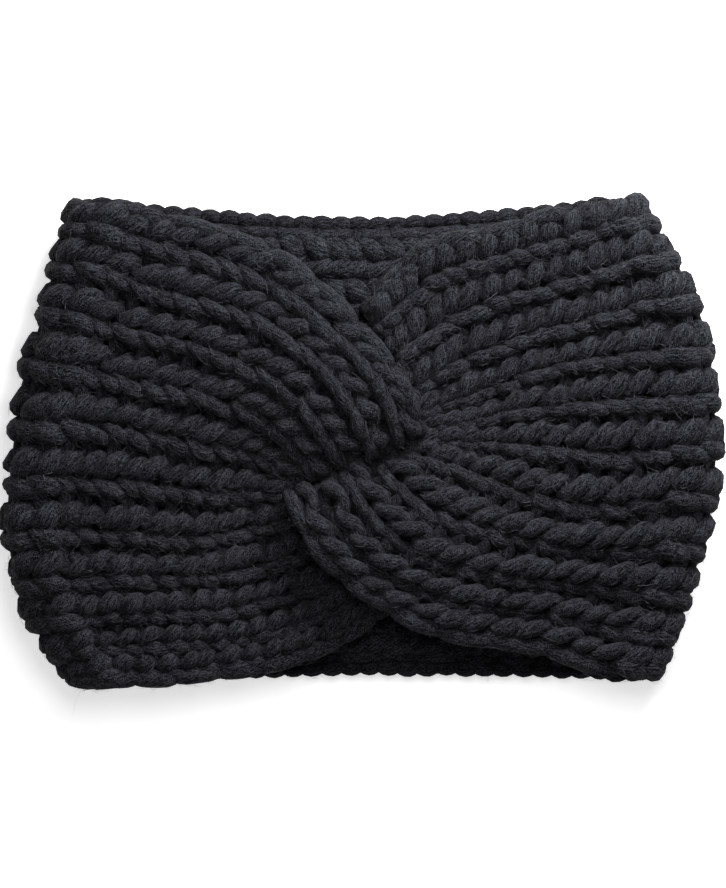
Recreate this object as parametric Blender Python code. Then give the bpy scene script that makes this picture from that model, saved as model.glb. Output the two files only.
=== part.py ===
# A chunky ribbed ear warmer headband lying face up: one knitted strip whose two ends hook round each other in front.
import math
from collections import namedtuple

import bpy
import numpy as np

# Driving sizes, in metres. X runs across the flat band from fold to fold, Y up its height, Z off the floor.
BAND_WIDTH = 0.210
BAND_HEIGHT = 0.145
RIB_COUNT = 11
KNIT_THICKNESS = 0.0090
LAYER_CLEARANCE = 0.0016
HOLLOW_HEIGHT = 0.0070
FOLD_DEPTH = 0.0090
VALLEY_SHARE = 0.30  # how far a valley stands off the knit's middle, as a share of half the thickness
FLAT_SHARE = 0.62  # the part of each rib that is flattened where it rests on the floor

# Spans of the mesh along the strip.
WING_SPANS = 13
ROLL_SPANS = 4
FOLD_SPANS = 6
BACK_SPANS = 8

# Heights of the middle of the knit: the back on the floor, the sides, and the two storeys of the twist.
HALF_THICKNESS = KNIT_THICKNESS / 2
BACK_LEVEL = HALF_THICKNESS
SIDE_LEVEL = 3 * HALF_THICKNESS + HOLLOW_HEIGHT
UNDER_LEVEL = 3 * HALF_THICKNESS + LAYER_CLEARANCE
OVER_LEVEL = UNDER_LEVEL + KNIT_THICKNESS + 2.4 * LAYER_CLEARANCE

# A row for each rib that is measured, counted from the top edge. x and y are shares of half the band's width and
# height, and lift is the share of the way from the under storey of the twist up to the over storey. side is the
# fold, then the rib runs inwards by quarter and waist to its brow, from where it rolls down to its end.
Rib = namedtuple(
    "Rib",
    "rib side_x side_y quarter_x quarter_y quarter_lift waist_x waist_y waist_lift "
    "brow_x brow_y brow_lift end_x end_y end_lift",
)
LEFT_WING = (
    Rib(0.5, -0.83, 0.88, -0.49, 0.79, 0.50, -0.21, 0.63, 0.85, 0.04, 0.28, 1.00, 0.12, 0.05, 0.55),
    Rib(2.5, -0.90, 0.52, -0.62, 0.44, 0.48, -0.36, 0.35, 0.80, -0.15, 0.17, 1.00, -0.04, -0.06, 0.35),
    Rib(4.5, -0.97, 0.09, -0.69, 0.07, 0.45, -0.46, 0.01, 0.50, -0.30, -0.04, 0.28, -0.18, -0.14, 0.10),
    Rib(6.5, -1.00, -0.35, -0.70, -0.35, 0.42, -0.49, -0.37, 0.28, -0.34, -0.35, 0.03, -0.17, -0.29, 0.00),
    Rib(8.5, -0.94, -0.70, -0.63, -0.68, 0.40, -0.41, -0.67, 0.22, -0.21, -0.61, 0.00, -0.06, -0.53, 0.00),
    Rib(10.5, -0.83, -0.93, -0.53, -0.92, 0.38, -0.33, -0.89, 0.20, -0.12, -0.81, 0.00, 0.05, -0.66, 0.00),
)
RIGHT_WING = (
    Rib(0.5, 0.80, 0.89, 0.53, 0.83, 0.38, 0.32, 0.75, 0.20, 0.17, 0.68, 0.00, 0.03, 0.47, 0.00),
    Rib(2.5, 0.93, 0.57, 0.64, 0.50, 0.40, 0.41, 0.41, 0.22, 0.25, 0.31, 0.00, 0.13, 0.20, 0.00),
    Rib(4.5, 0.99, 0.18, 0.71, 0.18, 0.42, 0.49, 0.14, 0.28, 0.31, 0.08, 0.03, 0.14, 0.04, 0.00),
    Rib(6.5, 0.99, -0.20, 0.66, -0.24, 0.45, 0.44, -0.18, 0.50, 0.27, -0.11, 0.28, 0.12, -0.07, 0.10),
    Rib(8.5, 0.92, -0.59, 0.56, -0.55, 0.48, 0.33, -0.51, 0.80, 0.11, -0.39, 1.00, -0.02, -0.18, 0.35),
    Rib(10.5, 0.84, -0.90, 0.46, -0.79, 0.50, 0.20, -0.72, 0.85, -0.06, -0.49, 1.00, -0.17, -0.27, 0.55),
)
# The back's top and bottom edges at the middle, as shares of half the height: a little lower than at the folds.
BACK_TOP = 0.90
BACK_BOTTOM = -0.96


def spline(knots, values, places):
    """Values at places of the smooth curve through the knots, straight beyond its ends."""
    knots = np.asarray(knots, float)
    values = np.asarray(values, float)
    gaps = np.diff(knots)
    slopes = np.diff(values, axis=0) / gaps.reshape(-1, *[1] * (values.ndim - 1))
    count = len(knots)
    system = np.eye(count)
    right = np.zeros_like(values)
    for row in range(1, count - 1):
        system[row, row - 1] = gaps[row - 1]
        system[row, row] = 2 * (gaps[row - 1] + gaps[row])
        system[row, row + 1] = gaps[row]
        right[row] = 6 * (slopes[row] - slopes[row - 1])
    bends = np.linalg.solve(system, right.reshape(count, -1)).reshape(values.shape)
    found = []
    for place in np.atleast_1d(places):
        inside = min(max(place, knots[0]), knots[-1])
        span = min(max(int(np.searchsorted(knots, inside, side="right")) - 1, 0), count - 2)
        width = gaps[span]
        after = inside - knots[span]
        before = knots[span + 1] - inside
        value = (bends[span] * before**3 + bends[span + 1] * after**3) / (6 * width)
        value = value + (values[span] / width - bends[span] * width / 6) * before
        value = value + (values[span + 1] / width - bends[span + 1] * width / 6) * after
        slope = (bends[span + 1] * after**2 - bends[span] * before**2) / (2 * width)
        slope = slope + slopes[span] - (bends[span + 1] - bends[span]) * width / 6
        found.append(value + slope * (place - inside))
    return np.array(found)


def lift_to_height(lift):
    return UNDER_LEVEL + lift * (OVER_LEVEL - UNDER_LEVEL)


def wing_lines(table, ribs):
    """Points of one front half, from its fold to its end, at each rib place."""
    inward = -np.sign(table[0].side_x)
    lines = []
    for row in table:
        apex = row.side_x * BAND_WIDTH / 2 + inward * HALF_THICKNESS
        plan = [(apex + inward * FOLD_DEPTH, row.side_y * BAND_HEIGHT / 2)]
        heights = [SIDE_LEVEL]
        for name in ("quarter", "waist", "brow", "end"):
            x_share = getattr(row, name + "_x")
            y_share = getattr(row, name + "_y")
            plan.append((x_share * BAND_WIDTH / 2, y_share * BAND_HEIGHT / 2))
            heights.append(lift_to_height(getattr(row, name + "_lift")))
        stations = np.linspace(0, 3, WING_SPANS + 1)
        angles = np.linspace(0, math.pi / 2, ROLL_SPANS + 1)[1:]
        flat = spline(range(5), plan, np.append(stations, 3 + np.sin(angles)))
        rise = spline(range(4), heights[:4], stations)
        rolled = heights[4] + (heights[3] - heights[4]) * np.cos(angles)
        lines.append(np.column_stack([flat, np.append(rise, rolled)]))
    return spline([row.rib for row in table], lines, ribs)


def fold_lines(table, ribs):
    """Points round one side fold, from the front half down to the back, without the ends."""
    inward = -np.sign(table[0].side_x)
    middle = (SIDE_LEVEL + BACK_LEVEL) / 2
    radius = (SIDE_LEVEL - BACK_LEVEL) / 2
    lines = []
    for row in table:
        apex = row.side_x * BAND_WIDTH / 2 + inward * HALF_THICKNESS
        centre = apex + inward * FOLD_DEPTH
        turns = np.linspace(0, math.pi, FOLD_SPANS + 1)[1:-1]
        lines.append(
            np.column_stack(
                [
                    centre - inward * FOLD_DEPTH * np.sin(turns),
                    np.full(len(turns), row.side_y * BAND_HEIGHT / 2),
                    middle + radius * np.cos(turns),
                ]
            )
        )
    return spline([row.rib for row in table], lines, ribs)


def back_lines(ribs):
    """Points of the back layer, from the left fold to the right one, flat on the floor."""
    ends = []
    for table in (LEFT_WING, RIGHT_WING):
        inward = -np.sign(table[0].side_x)
        start = [
            (row.side_x * BAND_WIDTH / 2 + inward * (HALF_THICKNESS + FOLD_DEPTH), row.side_y * BAND_HEIGHT / 2)
            for row in table
        ]
        ends.append(spline([row.rib for row in table], start, ribs))
    left, right = ends
    share = np.asarray(ribs) / RIB_COUNT
    middle_y = (BACK_TOP + (BACK_BOTTOM - BACK_TOP) * share) * BAND_HEIGHT / 2
    middle = np.column_stack([(left[:, 0] + right[:, 0]) / 2, middle_y])
    stations = np.linspace(-1, 1, BACK_SPANS + 1)
    plan = spline((-1, 0, 1), [left, middle, right], stations)
    lines = np.concatenate([plan, np.full((*plan.shape[:2], 1), BACK_LEVEL)], axis=2)
    return lines.transpose(1, 0, 2)


def strip_lines(ribs):
    """The middle of the whole strip: left end, left fold, back, right fold, right end."""
    left = wing_lines(LEFT_WING, ribs)[:, ::-1]
    right = wing_lines(RIGHT_WING, ribs)
    right_fold = fold_lines(RIGHT_WING, ribs)[:, ::-1]
    return np.concatenate([left, fold_lines(LEFT_WING, ribs), back_lines(ribs), right_fold, right], axis=1)


def surface_normals(lines):
    """Unit normals of the strip's middle, pointing out of the loop."""
    along = np.gradient(lines, axis=1)
    across = np.gradient(lines, axis=0)
    normals = np.cross(along, across)
    return normals / np.linalg.norm(normals, axis=2, keepdims=True)


def rib_places():
    """Places across the strip: both edges, then each rib's two shoulders, its crest and the valley after it."""
    places = [0.0, 0.14]
    for rib in range(RIB_COUNT):
        shoulder = FLAT_SHARE / 2
        places += [rib + 0.5 - shoulder, rib + 0.5, rib + 0.5 + shoulder]
        if rib < RIB_COUNT - 1:
            places.append(rib + 1.0)
    return np.array(places + [RIB_COUNT - 0.14, float(RIB_COUNT)])


def outer_relief(ribs):
    """How far the outer face stands off the middle, as a share of half the thickness: a crest on each rib."""
    wave = np.abs(np.sin(np.pi * ribs)) ** 0.8
    relief = VALLEY_SHARE + (1 - VALLEY_SHARE) * wave
    return relief * edge_round(ribs)


def inner_relief(ribs):
    """The same for the inner face, whose crests lie between those of the outer face."""
    wave = np.abs(np.cos(np.pi * ribs)) ** 0.8
    relief = VALLEY_SHARE + (1 - VALLEY_SHARE) * wave
    return relief * edge_round(ribs)


def edge_round(ribs):
    """One inside the strip, falling to nothing in a round at its two long edges."""
    inset = np.minimum(ribs, RIB_COUNT - ribs) / 0.5
    return np.sqrt(np.clip(1 - (1 - np.clip(inset, 0, 1)) ** 2, 0, 1))


def strip_mesh():
    """One closed body: the outer face, the inner face, and the rims that join them."""
    ribs = rib_places()
    lines = strip_lines(ribs)
    normals = surface_normals(lines)
    outer = lines + normals * (outer_relief(ribs) * HALF_THICKNESS)[:, None, None]
    inner = lines - normals * (inner_relief(ribs) * HALF_THICKNESS)[:, None, None]
    first = WING_SPANS + ROLL_SPANS + FOLD_SPANS
    last = first + BACK_SPANS
    flatten_where_it_rests(outer, ribs, first, last)
    rows, columns = lines.shape[:2]
    points = list(outer.reshape(-1, 3))
    outer_index = np.arange(rows * columns).reshape(rows, columns)
    inner_index = outer_index.copy()
    for row in range(1, rows - 1):
        for column in range(columns):
            inner_index[row, column] = len(points)
            points.append(inner[row, column])
    faces = []
    for row in range(rows - 1):
        for column in range(columns - 1):
            a, b = outer_index[row, column], outer_index[row, column + 1]
            c, d = outer_index[row + 1, column + 1], outer_index[row + 1, column]
            faces.append((a, b, c, d))
            a, b = inner_index[row, column], inner_index[row, column + 1]
            c, d = inner_index[row + 1, column + 1], inner_index[row + 1, column]
            faces.append((d, c, b, a))
        for column, turn in ((0, 1), (columns - 1, -1)):
            corners = [
                outer_index[row, column],
                outer_index[row + 1, column],
                inner_index[row + 1, column],
                inner_index[row, column],
            ]
            ring = [corner for i, corner in enumerate(corners) if corner not in corners[:i]]
            faces.append(tuple(ring[::turn]))
    return points, faces


def flatten_where_it_rests(outer, ribs, first, last):
    """Each rib's shoulders and crest under the back lie on the floor."""
    within = np.abs((ribs % 1.0) - 0.5) <= FLAT_SHARE / 2 + 1e-6
    outer[within, first : last + 1, 2] = 0.0


def fabric_material():
    material = bpy.data.materials.new("charcoal_knit")
    material.use_nodes = True
    shader = material.node_tree.nodes["Principled BSDF"]
    shader.inputs["Base Color"].default_value = (0.016, 0.016, 0.019, 1.0)
    shader.inputs["Roughness"].default_value = 0.9
    return material


def main():
    for thing in list(bpy.data.objects):
        bpy.data.objects.remove(thing, do_unlink=True)
    points, faces = strip_mesh()
    mesh = bpy.data.meshes.new("knit_band")
    mesh.from_pydata([tuple(point) for point in points], [], faces)
    mesh.validate()
    mesh.shade_smooth()
    mesh.materials.append(fabric_material())
    low = np.min(points, axis=0)
    high = np.max(points, axis=0)
    shift = (-(low[0] + high[0]) / 2, -(low[1] + high[1]) / 2, -low[2])
    for vertex in mesh.vertices:
        vertex.co.x += shift[0]
        vertex.co.y += shift[1]
        vertex.co.z += shift[2]
    band = bpy.data.objects.new("knit_band", mesh)
    group = bpy.data.collections.new("ear_warmer_headband")
    bpy.context.scene.collection.children.link(group)
    group.objects.link(band)
    print("triangles", sum(len(polygon.vertices) - 2 for polygon in mesh.polygons))
    print("size mm", np.round((high - low) * 1000, 1), "shift mm", np.round(np.array(shift) * 1000, 2))


main()
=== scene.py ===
# %% [markdown]
# A chunky knitted ear warmer, lying face up and seen from above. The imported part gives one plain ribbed
# solid. This lesson dresses it in real stitches: a long yarn goes to and fro across the band, with a
# stitch in each rib.

# %% The frame
import math
from collections import namedtuple

import bpy
import numpy as np
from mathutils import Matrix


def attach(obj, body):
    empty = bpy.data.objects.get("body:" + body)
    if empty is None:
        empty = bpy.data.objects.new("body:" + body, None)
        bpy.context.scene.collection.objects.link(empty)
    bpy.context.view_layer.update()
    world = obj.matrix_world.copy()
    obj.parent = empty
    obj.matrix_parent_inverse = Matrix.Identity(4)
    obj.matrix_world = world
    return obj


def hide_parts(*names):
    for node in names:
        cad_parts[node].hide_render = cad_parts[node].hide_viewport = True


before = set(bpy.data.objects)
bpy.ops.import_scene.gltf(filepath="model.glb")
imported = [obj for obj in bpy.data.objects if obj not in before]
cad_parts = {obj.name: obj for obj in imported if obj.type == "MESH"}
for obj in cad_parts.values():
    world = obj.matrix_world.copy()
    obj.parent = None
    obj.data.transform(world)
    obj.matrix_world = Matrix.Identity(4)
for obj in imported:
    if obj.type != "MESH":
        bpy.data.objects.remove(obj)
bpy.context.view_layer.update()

# %% [markdown]
# The knit follows the middle of the same strip as the solid, so its driving sizes and its two tables of
# ribs are repeated here. A row is one rib: where it folds at the side, and where it passes on its way
# in to the twist. Places are shares of half the band's width and height, and a lift of 1 is a rib that
# lies on top. The last number is how many courses of stitches the rib has from its fold to its end.

# %% Sizes of the band
BAND_WIDTH = 0.210
BAND_HEIGHT = 0.145
RIB_COUNT = 11
KNIT_THICKNESS = 0.0090
LAYER_CLEARANCE = 0.0016
HOLLOW_HEIGHT = 0.0070
FOLD_DEPTH = 0.0090
HALF_THICKNESS = KNIT_THICKNESS / 2
BACK_LEVEL = HALF_THICKNESS
SIDE_LEVEL = 3 * HALF_THICKNESS + HOLLOW_HEIGHT
UNDER_LEVEL = 3 * HALF_THICKNESS + LAYER_CLEARANCE
SWEEP_CLEARANCES = 2.4  # the rib that sweeps over clears the one below by this many layer clearances
OVER_LEVEL = UNDER_LEVEL + KNIT_THICKNESS + SWEEP_CLEARANCES * LAYER_CLEARANCE
BACK_TOP = 0.90
BACK_BOTTOM = -0.96  # shares of half the height that the middle of the back reaches
CENTRE_SHIFT = (0.00007, 0.00069, 0.0)  # how far the strip moves when the solid is centred on its box
Rib = namedtuple(
    "Rib",
    "rib side_x side_y quarter_x quarter_y quarter_lift waist_x waist_y waist_lift "
    "brow_x brow_y brow_lift end_x end_y end_lift courses",
)
LEFT_WING = (
    Rib(0.5, -0.83, 0.88, -0.49, 0.79, 0.5, -0.21, 0.63, 0.85, 0.04, 0.28, 1, 0.12, 0.04, 0.55, 14.4),
    Rib(2.5, -0.9, 0.52, -0.62, 0.44, 0.48, -0.36, 0.35, 0.8, -0.15, 0.17, 1, -0.04, -0.07, 0.35, 12.8),
    Rib(4.5, -0.97, 0.09, -0.69, 0.07, 0.45, -0.46, 0.01, 0.5, -0.3, -0.04, 0.28, -0.18, -0.15, 0.1, 11.8),
    Rib(6.5, -1, -0.35, -0.7, -0.35, 0.42, -0.49, -0.37, 0.28, -0.34, -0.35, 0.03, -0.17, -0.29, 0, 11.8),
    Rib(8.5, -0.94, -0.7, -0.63, -0.68, 0.4, -0.41, -0.67, 0.22, -0.21, -0.61, 0, -0.06, -0.53, 0, 12.8),
    Rib(10.5, -0.83, -0.93, -0.53, -0.92, 0.38, -0.33, -0.89, 0.2, -0.12, -0.81, 0, 0.05, -0.66, 0, 13.7),
)
RIGHT_WING = (
    Rib(0.5, 0.8, 0.89, 0.53, 0.83, 0.38, 0.32, 0.75, 0.2, 0.17, 0.68, 0, 0.03, 0.47, 0, 12.3),
    Rib(2.5, 0.93, 0.57, 0.64, 0.5, 0.4, 0.41, 0.41, 0.22, 0.25, 0.31, 0, 0.13, 0.2, 0, 12.3),
    Rib(4.5, 0.99, 0.18, 0.71, 0.18, 0.42, 0.49, 0.14, 0.28, 0.31, 0.08, 0.03, 0.14, 0.04, 0, 12.3),
    Rib(6.5, 0.99, -0.2, 0.66, -0.24, 0.45, 0.44, -0.18, 0.5, 0.27, -0.11, 0.28, 0.12, -0.05, 0.1, 12.3),
    Rib(8.5, 0.92, -0.59, 0.56, -0.55, 0.48, 0.33, -0.51, 0.8, 0.11, -0.39, 1, -0.02, -0.16, 0.35, 12.8),
    Rib(10.5, 0.84, -0.9, 0.46, -0.79, 0.5, 0.2, -0.72, 0.85, -0.06, -0.49, 1, -0.17, -0.25, 0.55, 13.9),
)
print("ribs measured on each side:", len(LEFT_WING))

# %% [markdown]
# The tables name only a few points of each rib. A cubic spline joins them without corners, both along a
# rib and from one rib to the next, so the whole strip is smooth.


# %% A smooth curve through measured points
def spline(knots, values, places):
    """Values at places of the smooth curve through the knots, straight beyond its ends."""
    knots = np.asarray(knots, float)
    values = np.asarray(values, float)
    gaps = np.diff(knots)
    slopes = np.diff(values, axis=0) / gaps.reshape(-1, *[1] * (values.ndim - 1))
    count = len(knots)
    system = np.eye(count)
    right = np.zeros_like(values)
    for row in range(1, count - 1):
        system[row, row - 1] = gaps[row - 1]
        system[row, row] = 2 * (gaps[row - 1] + gaps[row])
        system[row, row + 1] = gaps[row]
        right[row] = 6 * (slopes[row] - slopes[row - 1])
    bends = np.linalg.solve(system, right.reshape(count, -1)).reshape(values.shape)
    found = []
    for place in np.atleast_1d(places):
        inside = min(max(place, knots[0]), knots[-1])
        span = min(max(int(np.searchsorted(knots, inside, side="right")) - 1, 0), count - 2)
        width = gaps[span]
        after = inside - knots[span]
        before = knots[span + 1] - inside
        value = (bends[span] * before**3 + bends[span + 1] * after**3) / (6 * width)
        value = value + (values[span] / width - bends[span] * width / 6) * before
        value = value + (values[span + 1] / width - bends[span + 1] * width / 6) * after
        slope = (bends[span + 1] * after**2 - bends[span] * before**2) / (2 * width)
        slope = slope + slopes[span] - (bends[span + 1] - bends[span]) * width / 6
        found.append(value + slope * (place - inside))
    return np.array(found)


print("half way up a small test curve:", spline((0, 1, 2), (0.0, 1.0, 0.0), 0.5).round(3))


# %% [markdown]
# The strip's middle is worked out once as a fine grid: rows go across the ribs, and columns go along
# the strip from the left half's end in the twist, round the left fold, along the back, round the right
# fold and in again. Places along it are counted in stretches: four for a front half, one for a fold,
# one for the back.

# %% The strip's middle as a grid
ROW_STEP = 0.05
COLUMN_STEP = 0.02
HALF_STRETCHES = 4
LEFT_FOLD = 4
BACK = 5
RIGHT_FOLD = 6
RIGHT_HALF = 7
STRETCHES = 11.0
ROLL_START = 3  # from this stretch of a front half on, its rib rolls down into the crease
END_TUCK = 0.40  # the knit goes on past the solid's ends, down into the crease, so no cut end shows


def wing_line(row, stations):
    """Points of one rib of a front half. Stations run from 0 at its fold to 4 at its end."""
    inward = -np.sign(row.side_x)
    apex = row.side_x * BAND_WIDTH / 2 + inward * HALF_THICKNESS
    plan = [(apex + inward * FOLD_DEPTH, row.side_y * BAND_HEIGHT / 2)]
    heights = [SIDE_LEVEL]
    for name in ("quarter", "waist", "brow", "end"):
        x = getattr(row, name + "_x") * BAND_WIDTH / 2
        plan.append((x, getattr(row, name + "_y") * BAND_HEIGHT / 2))
        heights.append(UNDER_LEVEL + getattr(row, name + "_lift") * (OVER_LEVEL - UNDER_LEVEL))
    before_roll = np.minimum(stations, ROLL_START)
    angles = np.maximum(stations - ROLL_START, 0) * math.pi / 2
    flat = spline(range(5), plan, before_roll + np.sin(angles))
    rise = spline(range(4), heights[:4], before_roll)
    rolled = heights[4] + (heights[3] - heights[4]) * np.cos(angles)
    return np.column_stack([flat, np.where(stations > ROLL_START, rolled, rise)])


def fold_line(row, shares):
    """Points of one rib round a side fold. Shares run from 0 at the front to 1 at the back."""
    inward = -np.sign(row.side_x)
    centre = row.side_x * BAND_WIDTH / 2 + inward * (HALF_THICKNESS + FOLD_DEPTH)
    turns = shares * math.pi
    radius = (SIDE_LEVEL - BACK_LEVEL) / 2
    x = centre - inward * FOLD_DEPTH * np.sin(turns)
    y = np.full(len(turns), row.side_y * BAND_HEIGHT / 2)
    return np.column_stack([x, y, (SIDE_LEVEL + BACK_LEVEL) / 2 + radius * np.cos(turns)])


def left_line(row, places):
    """Points of one rib from the left half's end to the back."""
    wing = wing_line(row, LEFT_FOLD - places[places <= LEFT_FOLD])
    return np.concatenate([wing, fold_line(row, places[places > LEFT_FOLD] - LEFT_FOLD)])


def right_line(row, places):
    """Points of one rib from the back to the right half's end."""
    fold = fold_line(row, RIGHT_HALF - places[places < RIGHT_HALF])
    return np.concatenate([fold, wing_line(row, places[places >= RIGHT_HALF] - RIGHT_HALF)])


def strip_grid():
    """Points of the strip's middle, its normals and the distance from rib to rib, row by column."""
    rows = np.arange(0, RIB_COUNT + ROW_STEP / 2, ROW_STEP)
    columns = np.arange(-END_TUCK, STRETCHES + END_TUCK + COLUMN_STEP / 2, COLUMN_STEP)
    knots = [row.rib for row in LEFT_WING]
    left = spline(knots, [left_line(row, columns[columns <= BACK]) for row in LEFT_WING], rows)
    right = spline(knots, [right_line(row, columns[columns >= RIGHT_FOLD]) for row in RIGHT_WING], rows)
    share = rows / RIB_COUNT
    middle = np.column_stack([
        (left[:, -1, 0] + right[:, 0, 0]) / 2,
        (BACK_TOP + (BACK_BOTTOM - BACK_TOP) * share) * BAND_HEIGHT / 2,
        np.full(len(rows), BACK_LEVEL),
    ])
    back_part = columns[(columns > BACK) & (columns < RIGHT_FOLD)]
    back_knots = (BACK, (BACK + RIGHT_FOLD) / 2, RIGHT_FOLD)
    back = spline(back_knots, [left[:, -1], middle, right[:, 0]], back_part).transpose(1, 0, 2)
    points = np.concatenate([left, back, right], axis=1) + CENTRE_SHIFT
    along = np.gradient(points, axis=1)
    across = np.gradient(points, axis=0)
    normals = np.cross(along, across)
    normals /= np.linalg.norm(normals, axis=2, keepdims=True)
    pitch = np.linalg.norm(across, axis=2) / ROW_STEP
    return points, normals, pitch


GRID_POINTS, GRID_NORMALS, GRID_PITCH = strip_grid()
print("grid of the strip:", GRID_POINTS.shape[:2], "rib pitch mm:",
      round(GRID_PITCH.min() * 1000, 1), "to", round(GRID_PITCH.max() * 1000, 1))


LAST_CELL = 1.001  # keeps a lookup just inside the grid's last row and column


def read_between(grid, row, column):
    """The grid's value at fractional rows and columns, blended between its four nearest points."""
    row = np.clip(row, 0, grid.shape[0] - LAST_CELL)
    column = np.clip(column, 0, grid.shape[1] - LAST_CELL)
    r0 = row.astype(int)
    c0 = column.astype(int)
    fr = row - r0
    fc = column - c0
    if grid.ndim == 3:
        fr = fr[:, None]
        fc = fc[:, None]
    near = grid[r0, c0] * (1 - fc) + grid[r0, c0 + 1] * fc
    far = grid[r0 + 1, c0] * (1 - fc) + grid[r0 + 1, c0 + 1] * fc
    return near * (1 - fr) + far * fr


def read_grid(grid, ribs, places):
    """The grid's value at each rib place and place along the strip."""
    return read_between(grid, ribs / ROW_STEP, (places + END_TUCK) / COLUMN_STEP)


# %% [markdown]
# Knitting is counted in courses, the rows of loops that the needles make. Here a course runs across all
# the ribs, and the courses follow each other along the strip. Course 0 is where the left fold starts.
# Ribs that sweep over the twist are longer, so their stitches are stretched. Along each rib the
# stitches are spaced evenly, by its real length.

# %% Courses along the strip
FOLD_COURSES = 4.2
BACK_COURSES = 26.0
RIGHT_START = 2 * FOLD_COURSES + BACK_COURSES
EVEN_PARTS = 100


def wing_courses(table, ribs):
    """How many courses a front half has at each rib place."""
    return np.interp(ribs, [row.rib for row in table], [row.courses for row in table])


def even_places(start):
    """For each row of a front half, the places that divide its length into a hundred even parts."""
    first = round((start + END_TUCK) / COLUMN_STEP)
    places = start + np.arange(round(HALF_STRETCHES / COLUMN_STEP) + 1) * COLUMN_STEP
    lengths = np.linalg.norm(np.diff(GRID_POINTS[:, first:first + len(places)], axis=1), axis=2)
    reached = np.concatenate([np.zeros((len(lengths), 1)), np.cumsum(lengths, axis=1)], axis=1)
    shares = np.linspace(0, 1, EVEN_PARTS + 1)
    return np.array([np.interp(shares, row / row[-1], places) for row in reached])


LEFT_EVEN = even_places(0)
RIGHT_EVEN = even_places(RIGHT_HALF)


def place_of(courses, ribs):
    """Place along the strip of each course at each rib, and whether the strip reaches so far."""
    rows = ribs / ROW_STEP
    left_share = 1 + courses / wing_courses(LEFT_WING, ribs)
    left_end = read_between(LEFT_EVEN, rows, left_share * EVEN_PARTS)
    left_end = left_end + HALF_STRETCHES * np.minimum(left_share, 0)
    fold_left = LEFT_FOLD + courses / FOLD_COURSES
    back = BACK + (courses - FOLD_COURSES) / BACK_COURSES
    fold_right = RIGHT_FOLD + (courses - FOLD_COURSES - BACK_COURSES) / FOLD_COURSES
    right_share = (courses - RIGHT_START) / wing_courses(RIGHT_WING, ribs)
    right_end = read_between(RIGHT_EVEN, rows, right_share * EVEN_PARTS)
    right_end = right_end + HALF_STRETCHES * np.maximum(right_share - 1, 0)
    bounds = [0, FOLD_COURSES, FOLD_COURSES + BACK_COURSES, RIGHT_START]
    place = np.select([courses < b for b in bounds], [left_end, fold_left, back, fold_right], right_end)
    return place, (place >= -END_TUCK) & (place <= STRETCHES + END_TUCK)


print("courses round the back and both folds:", round(RIGHT_START, 1))


# %% [markdown]
# One stitch is drawn as a short table of the places that its yarn passes. On a knit rib both legs lie
# in front and slant outwards, which makes the chain of Vs, and the head and the feet hide behind. One
# leg is fuller than the other, because the yarn's own twist opens it, so a rib shows a row of beads
# beside a row like rope. In the valleys between the ribs a purl stitch does the same on the inner face.
#
# Across is counted in ribs from the stitch's middle, along in courses, depth in shares of the knit's
# half thickness and girth in shares of the yarn's radius. For the edges, across is counted from the
# strip's edge.

# %% The yarn's way through one stitch
Bend = namedtuple("Bend", "across along depth girth")
STITCH = np.array([
    Bend(-0.250, -0.78, 0.00, 0.88),
    Bend(-0.120, -0.62, 0.00, 0.82),
    Bend(-0.055, -0.35, 0.62, 0.96),
    Bend(-0.160, -0.05, 1.00, 1.12),
    Bend(-0.275, 0.22, 0.84, 1.08),
    Bend(-0.330, 0.45, 0.10, 0.88),
    Bend(-0.210, 0.70, -0.30, 0.92),
    Bend(0.000, 0.80, -0.32, 0.94),
    Bend(0.180, 0.76, -0.28, 0.92),
    Bend(0.275, 0.54, 0.28, 0.92),
    Bend(0.278, 0.24, 0.86, 0.98),
    Bend(0.242, -0.08, 0.99, 1.02),
    Bend(0.190, -0.38, 0.82, 0.96),
    Bend(0.165, -0.62, 0.24, 0.86),
])
KNIT_PLANE = 0.20  # knit ribs stand this share of the depth to the front, and purl ribs to the inner face
YARN_RADIUS = 0.00222
SELVEDGE = 2  # marks a bend of the edge, beside 1 for the front and -1 for the inner face
SELVEDGE_DENSITY = 2.5  # rings from one bend of the edge to the next
EDGE_CHAIN = (  # the smooth strand along a front half's edge, two courses long
    Bend(0.30, -0.05, 0.00, 0.90),
    Bend(0.20, -0.30, 0.62, 1.06),
    Bend(0.18, -1.00, 0.80, 1.14),
    Bend(0.20, -1.75, 0.62, 1.06),
    Bend(0.30, -1.98, -0.10, 0.90),
)
BACK_SCALLOP = (  # the round strand that shows at each course along the back's edge
    Bend(0.24, -0.02, 0.06, 0.86),
    Bend(0.18, -0.48, 0.36, 1.00),
    Bend(0.24, -0.92, 0.00, 0.86),
)
BACK_HIDDEN = (Bend(0.30, -0.95, -0.66, 0.86),)  # leads from one strand to the next out of sight
BACK_FLOAT = (  # the smooth strand beside the scallops, two courses long
    Bend(0.49, -0.02, 0.30, 0.80),
    Bend(0.48, -0.50, 0.60, 0.92),
    Bend(0.48, -1.50, 0.60, 0.92),
    Bend(0.49, -1.96, 0.24, 0.80),
)
BACK_TURN = BACK_HIDDEN + BACK_SCALLOP + BACK_HIDDEN + BACK_FLOAT + BACK_HIDDEN
EDGE_SHIFT = 0.11  # the outer ribs stand this share of a rib further in, beside the strand of the edge
print("places in one stitch:", len(STITCH))

# %% [markdown]
# Each course crosses the strip once, with one stitch in each rib and each valley, and the next course
# comes back. No two stitches are quite the same: each is a little longer, wider, deeper or thicker by
# chance, and each rib wavers slowly. The ribs of the front also roll a little towards the band's lower
# edge, as they do in the photograph.

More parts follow.
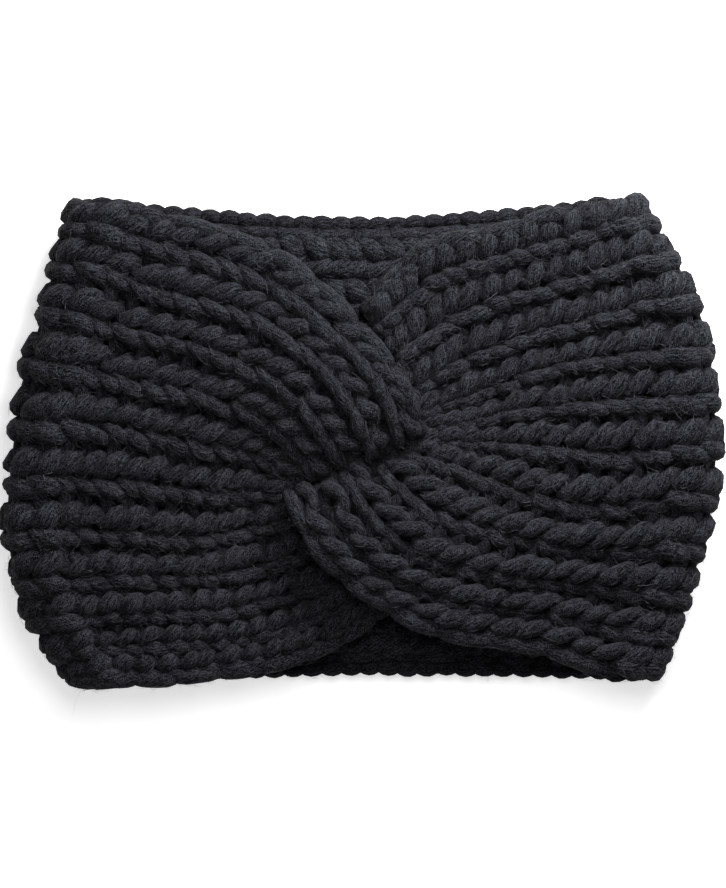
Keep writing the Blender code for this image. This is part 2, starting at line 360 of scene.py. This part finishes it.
# %% Every course as one row of places
LEFT_SKEW = -0.020  # the Vs lean a little, and the other way on the right half
RIGHT_SKEW = 0.030
BACK_FULLNESS = 1.35  # the back isn't pulled, so its thicker yarn closes the gaps between its stitches
ACROSS_TO_DEPTH = 5.0  # one unit of across is about this many units of depth
LENGTH_CHANCE = 0.08
WIDTH_CHANCE = 0.09
SIDE_CHANCE = 0.018
SHIFT_CHANCE = 0.08
DEPTH_CHANCE = 0.09
GIRTH_CHANCE = 0.07
SIDE_WAVER = 0.03
LAST_BEND_IN = 0.25  # a course's last bend is this far in from the edge
LAST_BEND_GIRTH = 0.9
ROLL_WAVER = 6  # degrees
Roll = namedtuple("Roll", "rib left right")  # degrees of roll on the left and the right half
ROLLS = (
    Roll(0.5, 0, 0),
    Roll(3.5, 2, 2),
    Roll(5.5, 6, 12),
    Roll(7.5, 12, 20),
    Roll(10.5, 12, 20),
)


def waver(rib, course):
    """A slow unevenness along each rib, between -1 and 1, as the sum of a shorter and a longer wave."""
    return 0.5 * np.sin(course * 0.83 + rib * 2.7) + 0.5 * np.sin(course * 0.31 + rib * 5.3)


def roll_of(course, rib):
    """How far a rib is rolled towards the band's lower edge, in radians."""
    if 0 <= course < RIGHT_START:
        return 0.0
    degrees = [row.left if course < 0 else row.right for row in ROLLS]
    usual = np.interp(rib, [row.rib for row in ROLLS], degrees)
    return math.radians(usual + ROLL_WAVER * waver(rib, course))


def course_places(course, chance):
    """Rib place, course place, depth and girth of one course's bends, and the face that each is on."""
    bends = []
    front = []
    in_back = 0 <= course < RIGHT_START
    skew = 0.0 if in_back else LEFT_SKEW if course < 0 else RIGHT_SKEW
    fullness = BACK_FULLNESS if in_back else 1.0
    for wale in range(2 * RIB_COUNT - 1):
        centre = 0.5 + wale / 2
        if wale in (0, 2 * RIB_COUNT - 2):
            centre += EDGE_SHIFT if wale == 0 else -EDGE_SHIFT
        face = 1 if wale % 2 == 0 else -1
        jitter = chance.normal(0, 1, 5)
        offset = -STITCH[:, 1] * (1 + LENGTH_CHANCE * jitter[0]) + SHIFT_CHANCE * jitter[2]
        across = STITCH[:, 0] * (1 + WIDTH_CHANCE * jitter[0]) + SIDE_CHANCE * jitter[1] + skew * offset
        depth = (KNIT_PLANE + (1 - KNIT_PLANE) * STITCH[:, 2]) * face * (1 + DEPTH_CHANCE * jitter[3])
        roll = roll_of(course, centre) if face > 0 else 0.0
        rolled_across = across * math.cos(roll) + depth * math.sin(roll) / ACROSS_TO_DEPTH
        rolled_depth = depth * math.cos(roll) - across * math.sin(roll) * ACROSS_TO_DEPTH
        place = rolled_across + centre + SIDE_WAVER * waver(centre + 3, course)
        girth = STITCH[:, 3] * fullness * (1 + GIRTH_CHANCE * jitter[4])
        bends.append(np.column_stack([place, course + offset, rolled_depth, girth]))
        front.append(np.full(len(STITCH), face))
    bends.append([[RIB_COUNT - LAST_BEND_IN, course - STITCH[0, 1], 0.0, LAST_BEND_GIRTH]])
    front.append([1])
    return np.concatenate(bends), np.concatenate(front)


def edge_places(bends, course, at_start):
    """Bends at the strip's first long edge or its other one, raised on the face that shows from above."""
    shown = -1 if 0 <= course < RIGHT_START else 1
    places = []
    for bend in bends:
        across = bend.across if at_start else RIB_COUNT - bend.across
        places.append([across, course - bend.along, bend.depth * shown, bend.girth])
    return places


def yarn_places(first, last, seed):
    """The yarn of a run of courses, to and fro across the strip, with a strand of the edge at each turn."""
    chance = np.random.default_rng(seed)
    bends = []
    front = []
    for course in range(first, last):
        here, face = course_places(course, chance)
        forward = (course - first) % 2 == 0
        if not forward:
            here = here[::-1]
            face = face[::-1]
        if 0 <= course < RIGHT_START:
            begin = edge_places(BACK_SCALLOP + BACK_HIDDEN, course, forward)
            end = edge_places(BACK_TURN, course, not forward)
        else:
            begin = edge_places(EDGE_CHAIN[:1], course, forward)
            end = edge_places(EDGE_CHAIN, course, not forward)
        bends += [begin, here, end]
        front += [[SELVEDGE] * len(begin), face, [SELVEDGE] * len(end)]
    return np.concatenate(bends), np.concatenate(front)


def smooth_run(bends, front, front_rings, back_rings):
    """A rounded curve through the bends, with more rings on the stitches of the face that shows."""
    density = np.where(front > 0, front_rings, back_rings) / len(STITCH)
    density[front == SELVEDGE] = SELVEDGE_DENSITY
    total = np.concatenate([[0], np.cumsum(density[:-1])])
    steps = np.arange(0, total[-1], 1.0)
    at = np.interp(steps, total, np.arange(len(bends)))
    index = np.clip(at.astype(int), 1, len(bends) - 3)
    t = (at - index)[:, None]
    p0, p1, p2, p3 = (bends[index + k] for k in (-1, 0, 1, 2))
    slope = (p2 - p0) * t
    square = (2 * p0 - 5 * p1 + 4 * p2 - p3) * t**2
    cube = (3 * p1 - p0 - 3 * p2 + p3) * t**3
    return 0.5 * (2 * p1 + slope + square + cube)


print("bends in one course:", len(course_places(0, np.random.default_rng(0))[0]))


# %% [markdown]
# The bends are placed on the strip: a rib place and a course place find a point of its middle, and the
# depth lifts it along the normal. Where the ribs are gathered the yarn is pulled thinner and the ribs
# stand prouder.

# %% From stitch places to points in space
USUAL_PITCH = 0.0130
LEAST_GATHERED = 0.9
MOST_GATHERED = 2.0
THINNING = -0.22  # powers of how closely the ribs are gathered
LIFTING = 0.15
SURFACE_RISE = 0.0003  # the yarn stands this far past the solid's own surface
SHORTEST_RUN = 8  # rings


def yarn_in_space(places):
    """Points, normals, depths, radii and crowding of the yarn, and whether the strip reaches each place."""
    ribs = np.clip(places[:, 0], 0, RIB_COUNT)
    place, there = place_of(places[:, 1], ribs)
    pitch = read_grid(GRID_PITCH, ribs, place)
    crowding = USUAL_PITCH / pitch
    gathered = np.clip(crowding, LEAST_GATHERED, MOST_GATHERED)
    radius = YARN_RADIUS * gathered**THINNING
    points = read_grid(GRID_POINTS, ribs, place)
    normals = read_grid(GRID_NORMALS, ribs, place)
    depth = places[:, 2] * (HALF_THICKNESS + SURFACE_RISE - radius) * gathered**LIFTING
    return points + normals * depth[:, None], normals, depth, radius * places[:, 3], crowding, there


def unbroken_runs(there):
    """Start and end of each run of places that the strip reaches, without the shortest scraps."""
    edges = np.flatnonzero(np.diff(np.concatenate([[0], there.astype(int), [0]])))
    return [(a, b) for a, b in zip(edges[::2], edges[1::2]) if b - a > SHORTEST_RUN]


print("usual rib pitch mm:", round(USUAL_PITCH * 1000, 1))
print("yarn across mm:", round(2 * YARN_RADIUS * 1000, 2))

# %% [markdown]
# A tube follows each run of yarn. Its rings are carried along the curve without turning of their own,
# so the faces stay square, and the fibres wind round it as in spun wool. Its sides are a little lumpy.

# %% A tube of yarn round each run
TUBE_SIDES = 10
SPIN_LENGTH = 0.0056  # the fibres turn one radian round the yarn in this length
LONG_SWELL = 0.05
LONG_SWELL_LENGTH = 0.0061
SHORT_SWELL = 0.03
SHORT_SWELL_LENGTH = 0.0023
LUMP_SIZE = 0.040
LUMP_LENGTHS = (0.003, 0.007)
TAPER_RINGS = 3
TIP_SHARE = 0.25
TINY = 1e-18  # keeps two rings at one place from dividing by nothing


def turning_frames(points, first_normal):
    """Two side directions at each point, carried along the curve with no twist of their own."""
    tangents = np.gradient(points, axis=0)
    tangents /= np.linalg.norm(tangents, axis=1, keepdims=True)
    sides = np.empty_like(points)
    side = first_normal - tangents[0] * (first_normal @ tangents[0])
    sides[0] = side / np.linalg.norm(side)
    for i in range(len(points) - 1):
        step = points[i + 1] - points[i]
        length = step @ step + TINY
        carried = sides[i] - step * (2 * (step @ sides[i]) / length)
        turned = tangents[i] - step * (2 * (step @ tangents[i]) / length)
        change = tangents[i + 1] - turned
        size = change @ change + TINY
        sides[i + 1] = carried - change * (2 * (change @ carried) / size)
    return tangents, sides, np.cross(tangents, sides)


def yarn_tube(points, normals, depth, radius, sides_count, chance):
    """Vertices, faces, fibre places and standing out of one tube, with uneven sides and tapering ends."""
    tangents, side, other = turning_frames(points, normals[0])
    count = len(points)
    lengths = np.concatenate([[0], np.cumsum(np.linalg.norm(np.diff(points, axis=0), axis=1))])
    from_end = np.minimum(np.arange(count), np.arange(count)[::-1])
    taper = np.minimum(from_end / TAPER_RINGS + TIP_SHARE, 1)
    angles = np.arange(sides_count) / sides_count * 2 * math.pi
    spun = angles[None, :] + lengths[:, None] / SPIN_LENGTH
    swell = 1 + LONG_SWELL * np.sin(lengths / LONG_SWELL_LENGTH + chance.uniform(0, 6))
    swell = swell + SHORT_SWELL * np.sin(lengths / SHORT_SWELL_LENGTH)
    lumps = np.ones((count, sides_count))
    for turns in (1, 2, 3):
        phase = lengths / chance.uniform(*LUMP_LENGTHS) + chance.uniform(0, 6)
        lumps += LUMP_SIZE * np.sin(turns * angles[None, :] + phase[:, None])
    reach = (radius * swell * taper)[:, None] * lumps
    rings = (points[:, None] + reach[:, :, None] * (
        np.cos(angles)[None, :, None] * side[:, None] + np.sin(angles)[None, :, None] * other[:, None]))
    vertices = rings.reshape(-1, 3)
    outward = (np.cos(angles)[None, :] * np.einsum("ij,ij->i", side, normals)[:, None]
               + np.sin(angles)[None, :] * np.einsum("ij,ij->i", other, normals)[:, None])
    standing = np.abs(depth[:, None] + reach * outward) / HALF_THICKNESS
    fibre = np.stack([
        np.broadcast_to(lengths[:, None], lumps.shape),
        np.cos(spun),
        np.sin(spun),
    ], axis=2).reshape(-1, 3)
    ring = np.arange(count - 1)[:, None] * sides_count
    here = ring + np.arange(sides_count)[None, :]
    after = ring + np.roll(np.arange(sides_count), -1)[None, :]
    quads = np.stack([here, here + sides_count, after + sides_count, after], axis=2).reshape(-1, 4)
    return vertices, quads, fibre, standing.ravel(), (points, tangents, side, other, radius * swell)


print("fibres turn once round the yarn in mm:", round(SPIN_LENGTH * 2 * math.pi * 1000, 1))


# %% [markdown]
# A mesh of a hundred thousand faces is filled from whole arrays, because adding faces one by one is
# slow. Two attributes go along for the material. The fibre places let it draw its fibres along the yarn
# and not across it. How far each point stands out of the knit tells it where the creases are, and there
# it paints shade.

# %% A mesh from arrays
def mesh_from_arrays(name, vertices, faces, fibre=None, standing=None):
    """An object from arrays of vertices and faces that all have the same number of corners."""
    mesh = bpy.data.meshes.new(name)
    size = faces.shape[1]
    mesh.vertices.add(len(vertices))
    mesh.vertices.foreach_set("co", np.asarray(vertices, np.float32).ravel())
    mesh.loops.add(faces.size)
    mesh.loops.foreach_set("vertex_index", faces.astype(np.int32).ravel())
    mesh.polygons.add(len(faces))
    mesh.polygons.foreach_set("loop_start", np.arange(len(faces), dtype=np.int32) * size)
    mesh.update(calc_edges=True)
    mesh.polygons.foreach_set("use_smooth", np.full(len(faces), True))
    if fibre is not None:
        layer = mesh.attributes.new("fibre_run", "FLOAT_VECTOR", "POINT")
        layer.data.foreach_set("vector", np.asarray(fibre, np.float32).ravel())
        layer = mesh.attributes.new("standing_out", "FLOAT", "POINT")
        layer.data.foreach_set("value", np.asarray(standing, np.float32))
    thing = bpy.data.objects.new(name, mesh)
    bpy.context.scene.collection.objects.link(thing)
    return thing


def close_ends(vertices, faces, sides_count):
    """Two fans of quads that close a tube's first and last ring."""
    last = len(vertices) - sides_count
    caps = []
    for k in range(1, sides_count - 2, 2):
        caps.append((0, k, k + 1, k + 2))
        caps.append((last, last + k + 2, last + k + 1, last + k))
    return np.concatenate([faces, np.array(caps)])


def knit_piece(name, first, last, front_rings, back_rings, seed):
    """One region of the band, from course first up to course last: its object and its yarn's paths."""
    chance = np.random.default_rng(seed + 100)
    bends, front = yarn_places(first, last, seed)
    places = smooth_run(bends, front, front_rings, back_rings)
    points, normals, depth, radius, crowding, there = yarn_in_space(places)
    vertices, faces, fibres, standings, paths = [], [], [], [], []
    start = 0
    for a, b in unbroken_runs(there):
        tube, quads, fibre, standing, path = yarn_tube(
            points[a:b], normals[a:b], depth[a:b], radius[a:b], TUBE_SIDES, chance)
        quads = close_ends(tube, quads, TUBE_SIDES)
        vertices.append(tube)
        faces.append(quads + start)
        fibres.append(fibre)
        standings.append(standing)
        paths.append((*path, normals[a:b], places[a:b, 2], crowding[a:b]))
        start += len(tube)
    vertices = np.concatenate(vertices)
    vertices[:, 2] = np.maximum(vertices[:, 2], 0.0)
    faces = np.concatenate(faces)
    thing = mesh_from_arrays(name, vertices, faces, np.concatenate(fibres), np.concatenate(standings))
    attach(thing, "root")
    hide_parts("knit_band")
    print(name, "triangles:", 2 * len(thing.data.polygons))
    return thing, paths


# %% [markdown]
# The band is knitted in three regions: the left half with the start of its fold, the back with the rest
# of both folds, and the right half. Rings are spent on the face that the photograph shows, which is the
# outer face of the halves and the inner face of the back.

# %% The three regions of the knit
left_yarn, left_paths = knit_piece("left_wrap_yarn", -17, 2, front_rings=21, back_rings=11, seed=11)
back_yarn, back_paths = knit_piece("back_yarn", 2, 33, front_rings=10, back_rings=15, seed=23)
right_yarn, right_paths = knit_piece("right_wrap_yarn", 33, 51, front_rings=21, back_rings=11, seed=37)


# %% [markdown]
# Soft spun yarn carries a haze of loose fibres. Each is a narrow ribbon that starts on the yarn,
# follows it for a few millimetres and lifts off a little. Most lie close, and a few stand out at the
# band's outline. Only yarn near a face gets them, and fewer where the ribs are crowded, so the stitches
# stay clear.

# %% Loose fibres
STRAY_SHARE = 0.030
STRAY_LENGTH = 2.0  # a stray fibre is this many times as long as a usual one
STRAY_LIFT = 3.2
LONGEST_FIBRE = 0.0060
HIGHEST_LIFT = 0.0016
FIBRE_LENGTH_SCALE = 0.00046
LIFT_SCALE = 0.00026
FIBRE_LEAN = 0.33  # radians away from the yarn's own direction, as the spinning leaves them
HALF_WIDTHS = (0.00003, 0.000055)
LEAST_LIFT = 0.00004
LENGTH_SHAPE = 4.0
LIFT_SHAPE = 1.4
LEAN_SPREAD = 0.45
DRIFT_SPREAD = 0.35
BOW_SPREAD = 0.25
ROOT_SHARE = 0.97  # a fibre starts just inside the yarn's surface
ARCH = 2.2  # radians of a sine that its lift follows, so it comes down again at the tip
WIDTH_SHARES = (0.8, 1.0, 0.3)
PICKS_EACH = 8  # places tried for each fibre that is kept
CROWDING_LIMIT = 0.9
NEAR_FACE = 0.3
NEAR_SPREAD = 0.4
FACING_OUT = 0.45
FACING_SPREAD = 0.7


def fuzz_piece(name, paths, count, outward, seed):
    """Loose fibres on a region's yarn. Outward is the share on the face that points out of the loop."""
    chance = np.random.default_rng(seed)
    centres = np.concatenate([path[0] for path in paths])
    tangents = np.concatenate([path[1] for path in paths])
    sides = np.concatenate([path[2] for path in paths])
    others = np.concatenate([path[3] for path in paths])
    radii = np.concatenate([path[4] for path in paths])
    normals = np.concatenate([path[5] for path in paths])
    depths = np.concatenate([path[6] for path in paths])
    crowding = np.concatenate([path[7] for path in paths])
    pick = chance.integers(0, len(centres), PICKS_EACH * count)
    angle = chance.uniform(0, 2 * math.pi, len(pick))
    out = np.cos(angle)[:, None] * sides[pick] + np.sin(angle)[:, None] * others[pick]
    facing = np.einsum("ij,ij->i", out, normals[pick])
    side = np.where(chance.uniform(size=len(pick)) < outward, 1, -1)
    near_face = depths[pick] * side + chance.uniform(-NEAR_SPREAD, NEAR_SPREAD, len(pick)) > NEAR_FACE
    thinned = chance.uniform(size=len(pick)) * crowding[pick] < CROWDING_LIMIT
    outside = facing * side + chance.uniform(0, FACING_SPREAD, len(pick)) > FACING_OUT
    keep = np.flatnonzero(near_face & outside & thinned)[:count]
    pick = pick[keep]
    out = out[keep]
    way = tangents[pick] * np.where(chance.uniform(size=len(pick)) < 0.5, -1, 1)[:, None]
    sway = np.cross(way, out)
    lean = chance.normal(FIBRE_LEAN, LEAN_SPREAD, len(pick))[:, None]
    way = way * np.cos(lean) + sway * np.sin(lean)
    sway = np.cross(way, out)
    stray = (chance.uniform(size=len(pick)) < STRAY_SHARE)[:, None]
    length = chance.gamma(LENGTH_SHAPE, FIBRE_LENGTH_SCALE, len(pick))[:, None]
    length = np.minimum(length * np.where(stray, STRAY_LENGTH, 1.0), LONGEST_FIBRE)
    lift = chance.gamma(LIFT_SHAPE, LIFT_SCALE, len(pick))[:, None]
    lift = np.minimum(lift * np.where(stray, STRAY_LIFT, 1.0), HIGHEST_LIFT)
    drift = chance.normal(0, DRIFT_SPREAD, len(pick))[:, None]
    bow = chance.normal(0, BOW_SPREAD, len(pick))[:, None]
    start = centres[pick] + out * (radii[pick][:, None] * ROOT_SHARE)
    width = chance.uniform(*HALF_WIDTHS, len(pick))[:, None]
    spine = []
    for share in (0.0, 0.5, 1.0):
        rise = lift * math.sin(share * ARCH) + LEAST_LIFT
        aside = sway * length * (drift * share + bow * share**2)
        spine.append(start + way * length * share + aside + out * rise)
    flat = chance.normal(0, 1, (len(pick), 3))
    flat = np.cross(way, flat)
    flat /= np.linalg.norm(flat, axis=1, keepdims=True)
    rails = []
    for point, narrow in zip(spine, WIDTH_SHARES):
        rails += [point - flat * width * narrow, point + flat * width * narrow]
    vertices = np.stack(rails, axis=1).reshape(-1, 3)
    vertices[:, 2] = np.maximum(vertices[:, 2], 0.0)
    base = np.arange(len(pick))[:, None] * 6
    faces = np.concatenate([base + np.array([[k, k + 1, k + 3, k + 2]]) for k in (0, 2)])
    thing = mesh_from_arrays(name, vertices, faces)
    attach(thing, "root")
    print(name, "fibres:", len(pick), "triangles:", 2 * len(faces))
    return thing


left_fuzz = fuzz_piece("left_wrap_fuzz", left_paths, count=20000, outward=0.85, seed=5)
back_fuzz = fuzz_piece("back_fuzz", back_paths, count=14000, outward=0.35, seed=6)
right_fuzz = fuzz_piece("right_wrap_fuzz", right_paths, count=20000, outward=0.85, seed=7)


# %% [markdown]
# The finish is dyed wool: nearly black and very rough. Its fibres show as streaks that wind along the
# yarn, so a group reads the fibre places. Fine speckle is added to them, and they serve as both colour
# mask and height.

# %% Fibre streaks as a shared group
STREAK_SCALE = (430, 7.5, 7.5)
SPECKLE_SCALE = (2600, 2600, 2600)
SPECKLE_SHARE = 0.42
CLOUD_SCALE = (110, 1.1, 1.1)


def noise_of(group, source, scale, detail, roughness):
    """A noise read at scaled places of the source, as a node output."""
    place = group.nodes.new("ShaderNodeMapping")
    place.inputs["Scale"].default_value = scale
    noise = group.nodes.new("ShaderNodeTexNoise")
    noise.inputs["Scale"].default_value = 1.0
    noise.inputs["Detail"].default_value = detail
    noise.inputs["Roughness"].default_value = roughness
    group.links.new(source, place.inputs["Vector"])
    group.links.new(place.outputs["Vector"], noise.inputs["Vector"])
    return noise.outputs["Fac"]


def blend_values(group, share, first, second):
    """A mix of two values, with this share of the second."""
    mix = group.nodes.new("ShaderNodeMix")
    mix.inputs["Factor"].default_value = share
    group.links.new(first, mix.inputs["A"])
    group.links.new(second, mix.inputs["B"])
    return mix.outputs["Result"]


def fibre_group():
    """Node group from fibre places to streaks, and to a slow cloud for the roughness."""
    group = bpy.data.node_groups.new("fibre_streaks", "ShaderNodeTree")
    group.interface.new_socket("Run", in_out="INPUT", socket_type="NodeSocketVector")
    group.interface.new_socket("Place", in_out="INPUT", socket_type="NodeSocketVector")
    group.interface.new_socket("Streaks", in_out="OUTPUT", socket_type="NodeSocketFloat")
    group.interface.new_socket("Cloud", in_out="OUTPUT", socket_type="NodeSocketFloat")
    entry = group.nodes.new("NodeGroupInput")
    leave = group.nodes.new("NodeGroupOutput")
    streaks = noise_of(group, entry.outputs["Run"], STREAK_SCALE, 3.0, 0.75)
    speckle = noise_of(group, entry.outputs["Place"], SPECKLE_SCALE, 1.0, 0.7)
    cloud = noise_of(group, entry.outputs["Run"], CLOUD_SCALE, 2.0, 0.5)
    group.links.new(blend_values(group, SPECKLE_SHARE, streaks, speckle), leave.inputs["Streaks"])
    group.links.new(cloud, leave.inputs["Cloud"])
    return group


FIBRES = fibre_group()
print("group", FIBRES.name, "nodes:", len(FIBRES.nodes))

# %% [markdown]
# The colour goes from dark to light wool by the streaks. Deep in the creases of the knit little light
# comes in, so shade is painted there: the mask is held down and the yarn stays nearly black. Loose
# fibres catch more light, so a highlight is painted on them: their material is lighter than the yarn's.

# %% The yarn's material
DARK_WOOL = (0.0008, 0.0008, 0.0012)
LIGHT_WOOL = (0.0430, 0.0440, 0.0550)
# the loose fibres are the same wool as the yarn, painted lighter as a highlight
DARK_HIGHLIT_FIBRE = (0.004, 0.004, 0.006)
LIGHT_HIGHLIT_FIBRE = (0.072, 0.074, 0.088)
STREAKS_DARK_AT = 0.46
STREAKS_LIGHT_AT = 0.60
CREASE_DEPTH = 0.20  # shares of the knit's half thickness: nearer the middle than this gets the deepest painted shade
CREST_DEPTH = 0.85
# share of the streak mask that is kept where the painted shade is deepest
CREASE_PAINTED_SHADE = 0.30
STREAK_RELIEF = 0.0010
SMOOTHEST = 0.78
ROUGHEST = 0.95
FIBRE_CLOUD_SCALE = 260.0


def blend_colours(nodes, links, mask, low, high):
    """A mix of two colours by a mask."""
    mix = nodes.new("ShaderNodeMix")
    mix.data_type = "RGBA"
    mix.inputs["A"].default_value = (*low, 1)
    mix.inputs["B"].default_value = (*high, 1)
    links.new(mask, mix.inputs["Factor"])
    return mix.outputs["Result"]


def yarn_material():
    """Rough dark wool with streaks of fibre, and painted shade that darkens the creases."""
    material = bpy.data.materials.new("charcoal_yarn")
    material.use_nodes = True
    nodes = material.node_tree.nodes
    links = material.node_tree.links
    shader = nodes["Principled BSDF"]
    run = nodes.new("ShaderNodeAttribute")
    run.attribute_name = "fibre_run"
    group = nodes.new("ShaderNodeGroup")
    group.node_tree = FIBRES
    links.new(run.outputs["Vector"], group.inputs["Run"])
    place = nodes.new("ShaderNodeNewGeometry")
    links.new(place.outputs["Position"], group.inputs["Place"])
    contrast = nodes.new("ShaderNodeMapRange")
    contrast.inputs["From Min"].default_value = STREAKS_DARK_AT
    contrast.inputs["From Max"].default_value = STREAKS_LIGHT_AT
    links.new(group.outputs["Streaks"], contrast.inputs["Value"])
    standing = nodes.new("ShaderNodeAttribute")
    standing.attribute_name = "standing_out"
    # painted shade: the colour mask is held down where the yarn lies deep in the knit
    crease = nodes.new("ShaderNodeMapRange")
    crease.interpolation_type = "SMOOTHSTEP"
    crease.inputs["From Min"].default_value = CREASE_DEPTH
    crease.inputs["From Max"].default_value = CREST_DEPTH
    crease.inputs["To Min"].default_value = CREASE_PAINTED_SHADE
    links.new(standing.outputs["Fac"], crease.inputs["Value"])
    shown = nodes.new("ShaderNodeMath")
    shown.operation = "MULTIPLY"
    links.new(contrast.outputs["Result"], shown.inputs[0])
    links.new(crease.outputs["Result"], shown.inputs[1])
    colour = blend_colours(nodes, links, shown.outputs["Value"], DARK_WOOL, LIGHT_WOOL)
    links.new(colour, shader.inputs["Base Color"])
    bump = nodes.new("ShaderNodeBump")
    bump.inputs["Strength"].default_value = 1.0
    bump.inputs["Distance"].default_value = STREAK_RELIEF
    links.new(group.outputs["Streaks"], bump.inputs["Height"])
    links.new(bump.outputs["Normal"], shader.inputs["Normal"])
    rough = nodes.new("ShaderNodeMapRange")
    rough.inputs["To Min"].default_value = SMOOTHEST
    rough.inputs["To Max"].default_value = ROUGHEST
    links.new(group.outputs["Cloud"], rough.inputs["Value"])
    links.new(rough.outputs["Result"], shader.inputs["Roughness"])
    shader.inputs["Specular IOR Level"].default_value = 0.06
    shader.inputs["Sheen Weight"].default_value = 0.02
    shader.inputs["Sheen Roughness"].default_value = 0.45
    shader.inputs["Sheen Tint"].default_value = (0.62, 0.64, 0.72, 1)
    return material


def fuzz_material():
    """Fibre painted lighter than the yarn as a highlight, some lighter and some darker by where they lie.
    """
    material = bpy.data.materials.new("charcoal_fibre_painted_highlight")
    material.use_nodes = True
    nodes = material.node_tree.nodes
    links = material.node_tree.links
    shader = nodes["Principled BSDF"]
    place = nodes.new("ShaderNodeNewGeometry")
    noise = nodes.new("ShaderNodeTexNoise")
    noise.inputs["Scale"].default_value = FIBRE_CLOUD_SCALE
    links.new(place.outputs["Position"], noise.inputs["Vector"])
    colour = blend_colours(nodes, links, noise.outputs["Fac"], DARK_HIGHLIT_FIBRE, LIGHT_HIGHLIT_FIBRE)
    links.new(colour, shader.inputs["Base Color"])
    shader.inputs["Roughness"].default_value = 0.7
    shader.inputs["Specular IOR Level"].default_value = 0.3
    return material


YARN = yarn_material()
FIBRE = fuzz_material()
for thing in (left_yarn, back_yarn, right_yarn):
    thing.data.materials.append(YARN)
for thing in (left_fuzz, back_fuzz, right_fuzz):
    thing.data.materials.append(FIBRE)
print("materials:", YARN.name, FIBRE.name)

# %% [markdown]
# The photograph shows the band on plain white, with hardly a shadow. The floor is white paper that
# glows a little, just below the knit, so the shadow on it stays faint.

# %% Floor
FLOOR_SIZE = 3.0
FLOOR_DROP = 0.0003
bpy.ops.mesh.primitive_plane_add(size=FLOOR_SIZE, location=(0, 0, -FLOOR_DROP))
floor = bpy.context.object
floor.name = "studio_floor"
paper = bpy.data.materials.new("white_paper")
paper.use_nodes = True
paper_shader = paper.node_tree.nodes["Principled BSDF"]
paper_shader.inputs["Base Color"].default_value = (0.93, 0.93, 0.93, 1)
paper_shader.inputs["Roughness"].default_value = 0.9
paper_shader.inputs["Emission Color"].default_value = (1, 1, 1, 1)
paper_shader.inputs["Emission Strength"].default_value = 0.65
floor.data.materials.append(paper)
print("floor:", floor.name, "metres across:", FLOOR_SIZE)


# %% [markdown]
# In the photograph the ribs near the top edge are lighter and those at the lower left are darkest. So a
# soft light stands just beyond the top edge, a weak lamp hangs over the twist, and a pale room fills
# the rest.

# %% Lights
ROOM_STRENGTH = 0.104


def soft_light(name, place, size, watts):
    """A round area light that shines at the middle of the floor."""
    lamp = bpy.data.lights.new(name, "AREA")
    lamp.shape = "DISK"
    lamp.size = size
    lamp.energy = watts
    thing = bpy.data.objects.new(name, lamp)
    thing.location = place
    aim = -np.array(place)
    tilt = math.atan2(math.hypot(aim[0], aim[1]), -aim[2])
    heading = math.atan2(aim[0], -aim[1]) + math.pi
    thing.rotation_euler = (tilt, 0, heading)
    bpy.context.scene.collection.objects.link(thing)
    return thing


key = soft_light("key_beyond_top", (0.13, 0.28, 0.20), size=0.24, watts=3.35)
lamp_over = soft_light("lamp_over_twist", (0.0, 0.03, 0.28), size=0.14, watts=0.42)
world = bpy.data.worlds.new("white_room")
world.use_nodes = True
world.node_tree.nodes["Background"].inputs["Color"].default_value = (1, 1, 1, 1)
world.node_tree.nodes["Background"].inputs["Strength"].default_value = ROOM_STRENGTH
bpy.context.scene.world = world
bpy.context.scene.view_settings.view_transform = "Standard"
print("lights:", key.name, lamp_over.name)

# %% [markdown]
# The camera looks straight down through a long lens, which keeps the outline true. The band fills
# nearly the whole width of the picture, and that gives the length of the lens.

# %% Camera
IMAGE_WIDTH = 726
BAND_PIXELS = 721
CENTRE_RIGHT = 0.5  # pixels from the band's middle to the picture's
CENTRE_DOWN = 3
CAMERA_HEIGHT = 1.25
SHOWN_LEVEL = 0.012  # height of the ribs that make the outline
SENSOR_WIDTH = 36
camera_data = bpy.data.cameras.new("camera")
camera = bpy.data.objects.new("camera", camera_data)
bpy.context.scene.collection.objects.link(camera)
metres_per_pixel = BAND_WIDTH / BAND_PIXELS
frame_width = IMAGE_WIDTH * metres_per_pixel
camera_data.sensor_fit = "HORIZONTAL"
camera_data.sensor_width = SENSOR_WIDTH
camera_data.lens = SENSOR_WIDTH * (CAMERA_HEIGHT - SHOWN_LEVEL) / frame_width
camera.location = (CENTRE_RIGHT * metres_per_pixel, -CENTRE_DOWN * metres_per_pixel, CAMERA_HEIGHT)
bpy.context.scene.camera = camera
print("lens:", round(camera_data.lens, 1))
